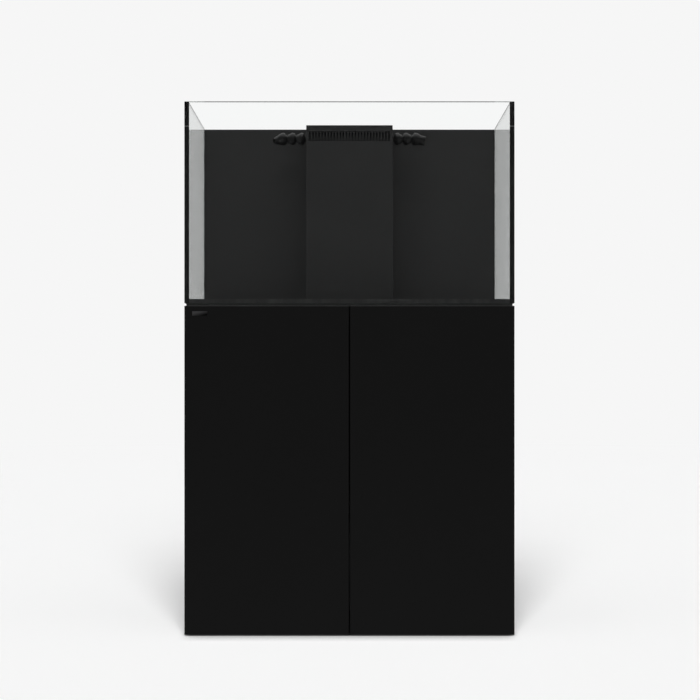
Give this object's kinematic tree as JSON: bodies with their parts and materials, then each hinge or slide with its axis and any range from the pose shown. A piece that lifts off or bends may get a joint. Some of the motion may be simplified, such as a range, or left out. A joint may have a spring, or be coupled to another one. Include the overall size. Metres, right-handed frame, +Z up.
{
  "type": "aquarium on stand",
  "caption": "Rimless glass tank with black back, overflow box and return nozzles, on a black two-door cabinet that holds a sump.",
  "frame": {"origin": "on the floor under the middle of the cabinet", "axes": "+X to the right seen from the front, +Y to the back, +Z up"},
  "size_m": [0.9, 0.55, 1.457],
  "materials": {
    "clear_glass": "polished, low iron",
    "black_glass": "polished, painted black behind",
    "black_silicone": "satin",
    "foam": "matte",
    "overflow_black": "semi gloss",
    "nozzle_black": "satin",
    "pipe_grey": "satin",
    "gasket_rubber": "matte",
    "valve_red": "gloss",
    "black_board": "satin black lacquer",
    "steel": "brushed",
    "latch_grey": "satin",
    "badge_metal": "satin",
    "foot_black": "matte",
    "acrylic": "clear acrylic",
    "felt": "felt",
    "sock_white": "satin",
    "pump_black": "satin",
    "impeller_white": "satin"
  },
  "bodies": {
    "tank_and_cabinet": {"front_glass": "clear_glass", "back_glass": "black_glass", "left_glass": "clear_glass", "right_glass": "clear_glass", "bottom_glass": "black_glass", "corner_silicone": "black_silicone", "base_silicone": "black_silicone", "foam_mat": "foam", "overflow_front": "overflow_black", "weir_comb": "overflow_black", "overflow_left": "overflow_black", "overflow_right": "overflow_black", "bulkheads": "pipe_grey", "bulkhead_nuts": "pipe_grey", "bulkhead_gaskets": "gasket_rubber", "drain_standpipe": "pipe_grey", "emergency_standpipe": "pipe_grey", "return_riser": "pipe_grey", "return_manifold": "pipe_grey", "nozzle_fittings": "nozzle_black", "valve_stub_pipes": "pipe_grey", "drain_pipe": "pipe_grey", "emergency_pipe": "pipe_grey", "return_pipe": "pipe_grey", "drain_valve_body": "pipe_grey", "return_valve_body": "pipe_grey", "top_panel": "black_board", "bottom_panel": "black_board", "left_side_panel": "black_board", "right_side_panel": "black_board", "back_panel": "black_board", "hinge_plates": "steel", "hinge_pins": "steel", "latch_housings": "latch_grey", "sump_tank": "acrylic", "sump_baffles": "acrylic", "sock_holder": "acrylic", "pump_cover": "pump_black", "pump_body": "pump_black"},
    "left_door": {"left_door": "black_board", "badge": "badge_metal"},
    "right_door": {"right_door": "black_board"},
    "left_plunger": {"left_latch_plunger": "latch_grey"},
    "right_plunger": {"right_latch_plunger": "latch_grey"},
    "lid": {"overflow_lid": "overflow_black"},
    "drain_wheel": {"drain_valve_wheel": "valve_red"},
    "return_handle": {"return_valve_handle": "valve_red"},
    "sock": {"sock_ring": "sock_white", "filter_sock": "felt"},
    "impeller": {"pump_impeller": "impeller_white"},
    "left_segment_1": {"left_ball_segment_1": "nozzle_black"},
    "left_segment_2": {"left_ball_segment_2": "nozzle_black"},
    "left_flare": {"left_flare_nozzle": "nozzle_black"},
    "right_segment_1": {"right_ball_segment_1": "nozzle_black"},
    "right_segment_2": {"right_ball_segment_2": "nozzle_black"},
    "right_flare": {"right_flare_nozzle": "nozzle_black"},
    "front_left_foot": {"front_left_foot": "foot_black"},
    "front_right_foot": {"front_right_foot": "foot_black"},
    "back_left_foot": {"back_left_foot": "foot_black"},
    "back_right_foot": {"back_right_foot": "foot_black"}
  },
  "joints": [
    {"name": "left_door_swing", "type": "hinge", "parent": "tank_and_cabinet", "child": "left_door", "pos_m": [-0.441, -0.266, 0], "axis": [0, 0, -1], "range_deg": [0, 105]},
    {"name": "right_door_swing", "type": "hinge", "parent": "tank_and_cabinet", "child": "right_door", "pos_m": [0.441, -0.266, 0], "axis": [0, 0, 1], "range_deg": [0, 105]},
    {"name": "left_latch_push", "type": "slide", "parent": "tank_and_cabinet", "child": "left_plunger", "axis": [0, -1, 0], "range_m": [0, 0.0092]},
    {"name": "right_latch_push", "type": "slide", "parent": "tank_and_cabinet", "child": "right_plunger", "axis": [0, -1, 0], "range_m": [0, 0.0092]},
    {"name": "lid_lift", "type": "slide", "parent": "tank_and_cabinet", "child": "lid", "axis": [0, 0, 1], "range_m": [0, 0.08]},
    {"name": "left_segment_1_bend_up_down", "type": "hinge", "parent": "tank_and_cabinet", "child": "left_segment_1", "pos_m": [-0.142, 0.19, 1.418], "axis": [0, 1, 0], "range_deg": [-15, 15]},
    {"name": "left_segment_2_bend_sideways", "type": "hinge", "parent": "left_segment_1", "child": "left_segment_2", "pos_m": [-0.169, 0.19, 1.418], "axis": [0, 0, 1], "range_deg": [-15, 15]},
    {"name": "left_flare_turn", "type": "hinge", "parent": "left_segment_2", "child": "left_flare", "pos_m": [-0.196, 0.19, 1.418], "axis": [1, 0, 0], "continuous": true},
    {"name": "right_segment_1_bend_up_down", "type": "hinge", "parent": "tank_and_cabinet", "child": "right_segment_1", "pos_m": [0.142, 0.19, 1.418], "axis": [0, 1, 0], "range_deg": [-15, 15]},
    {"name": "right_segment_2_bend_sideways", "type": "hinge", "parent": "right_segment_1", "child": "right_segment_2", "pos_m": [0.169, 0.19, 1.418], "axis": [0, 0, 1], "range_deg": [-15, 15]},
    {"name": "right_flare_turn", "type": "hinge", "parent": "right_segment_2", "child": "right_flare", "pos_m": [0.196, 0.19, 1.418], "axis": [1, 0, 0], "continuous": true},
    {"name": "drain_wheel_turn", "type": "hinge", "parent": "tank_and_cabinet", "child": "drain_wheel", "pos_m": [-0.085, 0.19, 0.745], "axis": [0, 1, 0], "range_deg": [0, 1080]},
    {"name": "return_handle_turn", "type": "hinge", "parent": "tank_and_cabinet", "child": "return_handle", "pos_m": [0.085, 0.19, 0.745], "axis": [0, -1, 0], "range_deg": [0, 90]},
    {"name": "sock_lift", "type": "slide", "parent": "tank_and_cabinet", "child": "sock", "axis": [0, 0, 1], "range_m": [0, 0.1]},
    {"name": "impeller_spin", "type": "hinge", "parent": "tank_and_cabinet", "child": "impeller", "pos_m": [0.212, 0.06, 0.084], "axis": [1, 0, 0], "continuous": true},
    {"name": "front_left_foot_turn", "type": "hinge", "parent": "tank_and_cabinet", "child": "front_left_foot", "pos_m": [-0.41, -0.214, 0], "axis": [0, 0, 1], "continuous": true},
    {"name": "front_right_foot_turn", "type": "hinge", "parent": "tank_and_cabinet", "child": "front_right_foot", "pos_m": [0.41, -0.214, 0], "axis": [0, 0, 1], "continuous": true},
    {"name": "back_left_foot_turn", "type": "hinge", "parent": "tank_and_cabinet", "child": "back_left_foot", "pos_m": [-0.41, 0.235, 0], "axis": [0, 0, 1], "continuous": true},
    {"name": "back_right_foot_turn", "type": "hinge", "parent": "tank_and_cabinet", "child": "back_right_foot", "pos_m": [0.41, 0.235, 0], "axis": [0, 0, 1], "continuous": true}
  ],
  "couplings": [
    {"joint": "left_latch_push", "follows": "left_door_swing", "m_per_rad": 0.005},
    {"joint": "right_latch_push", "follows": "right_door_swing", "m_per_rad": 0.005}
  ]
}
